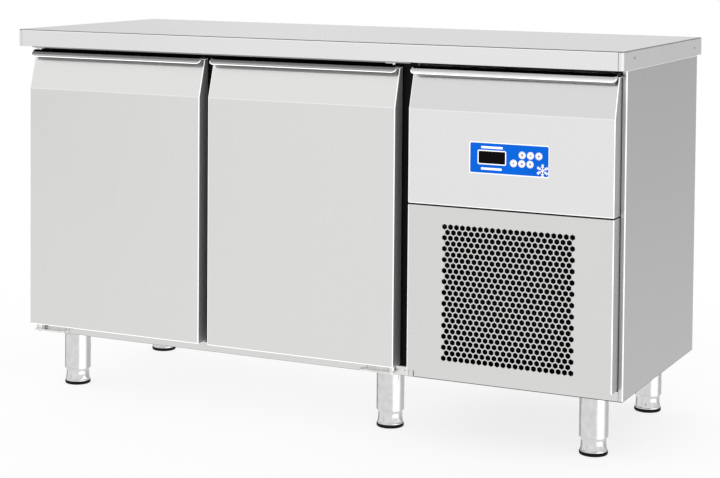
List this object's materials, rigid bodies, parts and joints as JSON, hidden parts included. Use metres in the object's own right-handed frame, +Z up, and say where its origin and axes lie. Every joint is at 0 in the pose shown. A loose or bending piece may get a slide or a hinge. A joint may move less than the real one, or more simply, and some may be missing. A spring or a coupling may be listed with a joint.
{
  "type": "under counter fridge",
  "caption": "Refrigerated steel work counter with hinged doors, shelves, a machine bay behind a pierced grille, a keypad and adjustable feet.",
  "frame": {"origin": "on the floor, at the middle of the footprint", "axes": "+Z up; the doors face -Y; the machine bay is at +X"},
  "size_m": [1.49, 0.6, 0.86],
  "materials": {
    "brushed_steel": "satin",
    "zinc_plate": "satin",
    "aluminium_fin": "satin",
    "polyurethane_foam": "matte",
    "grey_gasket": "matte",
    "black_plastic": "matte",
    "black_iron": "satin",
    "blue_overlay": "satin",
    "white_key": "satin",
    "copper_line": "polished"
  },
  "bodies": {
    "counter_body": {"worktop": "brushed_steel", "end_cap_left": "brushed_steel", "end_cap_right": "brushed_steel", "side_panel_left": "brushed_steel", "side_panel_right": "brushed_steel", "machine_base_tray": "brushed_steel", "inner_liner": "brushed_steel", "front_frame": "brushed_steel", "control_fascia": "brushed_steel", "grille_panel": "brushed_steel", "shelf_rail_left": "brushed_steel", "shelf_rail_centre": "brushed_steel", "evaporator_cover": "brushed_steel", "leg_tube_front_left": "brushed_steel", "leg_tube_front_middle": "brushed_steel", "leg_tube_front_right": "brushed_steel", "leg_tube_back_left": "brushed_steel", "leg_tube_back_right": "brushed_steel", "back_panel": "zinc_plate", "base_panel": "zinc_plate", "partition_panel": "zinc_plate", "condenser_fan_motor": "zinc_plate", "left_hinge_top": "zinc_plate", "left_hinge_bottom": "zinc_plate", "right_hinge_top": "zinc_plate", "right_hinge_bottom": "zinc_plate", "condenser_coil": "aluminium_fin", "evaporator_coil": "aluminium_fin", "insulation_shell": "polyurethane_foam", "controller_module": "black_plastic", "evaporator_fan_motor": "black_plastic", "fan_shroud": "black_plastic", "electrical_box": "black_plastic", "power_cable": "black_plastic", "compressor": "black_iron", "keypad_overlay": "blue_overlay", "suction_line": "copper_line"},
    "left_door": {"left_door_shell": "brushed_steel", "left_door_foam": "polyurethane_foam", "left_door_liner": "brushed_steel", "left_door_gasket": "grey_gasket"},
    "right_door": {"right_door_shell": "brushed_steel", "right_door_foam": "polyurethane_foam", "right_door_liner": "brushed_steel", "right_door_gasket": "grey_gasket"},
    "left_shelf": {"shelf_left": "zinc_plate"},
    "right_shelf": {"shelf_right": "zinc_plate"},
    "condenser_fan": {"condenser_fan_blade": "black_plastic"},
    "evaporator_fan": {"evaporator_fan_blade": "black_plastic"},
    "key_1": {"button_1": "white_key"},
    "key_2": {"button_2": "white_key"},
    "key_3": {"button_3": "white_key"},
    "key_4": {"button_4": "white_key"},
    "key_5": {"button_5": "white_key"},
    "key_6": {"button_6": "white_key"},
    "foot_front_left": {"adjustable_foot_front_left": "brushed_steel"},
    "foot_front_middle": {"adjustable_foot_front_middle": "brushed_steel"},
    "foot_front_right": {"adjustable_foot_front_right": "brushed_steel"},
    "foot_back_left": {"adjustable_foot_back_left": "brushed_steel"},
    "foot_back_right": {"adjustable_foot_back_right": "brushed_steel"}
  },
  "joints": [
    {"name": "left_door_hinge", "type": "hinge", "parent": "counter_body", "child": "left_door", "pos_m": [-0.697, -0.274, 0.482], "axis": [0, 0, -1], "range_deg": [0, 90]},
    {"name": "right_door_hinge", "type": "hinge", "parent": "counter_body", "child": "right_door", "pos_m": [0.2255, -0.274, 0.482], "axis": [0, 0, 1], "range_deg": [0, 90]},
    {"name": "left_shelf_slide", "type": "slide", "parent": "counter_body", "child": "left_shelf", "axis": [0, -1, 0], "range_m": [0, 0.019]},
    {"name": "right_shelf_slide", "type": "slide", "parent": "counter_body", "child": "right_shelf", "axis": [0, -1, 0], "range_m": [0, 0.019]},
    {"name": "condenser_fan_spin", "type": "hinge", "parent": "counter_body", "child": "condenser_fan", "pos_m": [0.5, -0.105, 0.335], "axis": [0, 1, 0], "continuous": true},
    {"name": "evaporator_fan_spin", "type": "hinge", "parent": "counter_body", "child": "evaporator_fan", "pos_m": [0.1245, 0, 0.62], "axis": [1, 0, 0], "continuous": true},
    {"name": "key_1_press", "type": "slide", "parent": "counter_body", "child": "key_1", "axis": [0, 1, 0], "range_m": [0, 0.0008], "stiffness_N_per_m": 300, "springref_m": -0.003},
    {"name": "key_2_press", "type": "slide", "parent": "counter_body", "child": "key_2", "axis": [0, 1, 0], "range_m": [0, 0.0008], "stiffness_N_per_m": 300, "springref_m": -0.003},
    {"name": "key_3_press", "type": "slide", "parent": "counter_body", "child": "key_3", "axis": [0, 1, 0], "range_m": [0, 0.0008], "stiffness_N_per_m": 300, "springref_m": -0.003},
    {"name": "key_4_press", "type": "slide", "parent": "counter_body", "child": "key_4", "axis": [0, 1, 0], "range_m": [0, 0.0008], "stiffness_N_per_m": 300, "springref_m": -0.003},
    {"name": "key_5_press", "type": "slide", "parent": "counter_body", "child": "key_5", "axis": [0, 1, 0], "range_m": [0, 0.0008], "stiffness_N_per_m": 300, "springref_m": -0.003},
    {"name": "key_6_press", "type": "slide", "parent": "counter_body", "child": "key_6", "axis": [0, 1, 0], "range_m": [0, 0.0008], "stiffness_N_per_m": 300, "springref_m": -0.003},
    {"name": "foot_front_left_screw", "type": "slide", "parent": "counter_body", "child": "foot_front_left", "axis": [0, 0, -1], "range_m": [-0.012, 0.03], "stiffness_N_per_m": 400000},
    {"name": "foot_front_middle_screw", "type": "slide", "parent": "counter_body", "child": "foot_front_middle", "axis": [0, 0, -1], "range_m": [-0.012, 0.03], "stiffness_N_per_m": 400000},
    {"name": "foot_front_right_screw", "type": "slide", "parent": "counter_body", "child": "foot_front_right", "axis": [0, 0, -1], "range_m": [-0.012, 0.03], "stiffness_N_per_m": 400000},
    {"name": "foot_back_left_screw", "type": "slide", "parent": "counter_body", "child": "foot_back_left", "axis": [0, 0, -1], "range_m": [-0.012, 0.03], "stiffness_N_per_m": 400000},
    {"name": "foot_back_right_screw", "type": "slide", "parent": "counter_body", "child": "foot_back_right", "axis": [0, 0, -1], "range_m": [-0.012, 0.03], "stiffness_N_per_m": 400000}
  ]
}
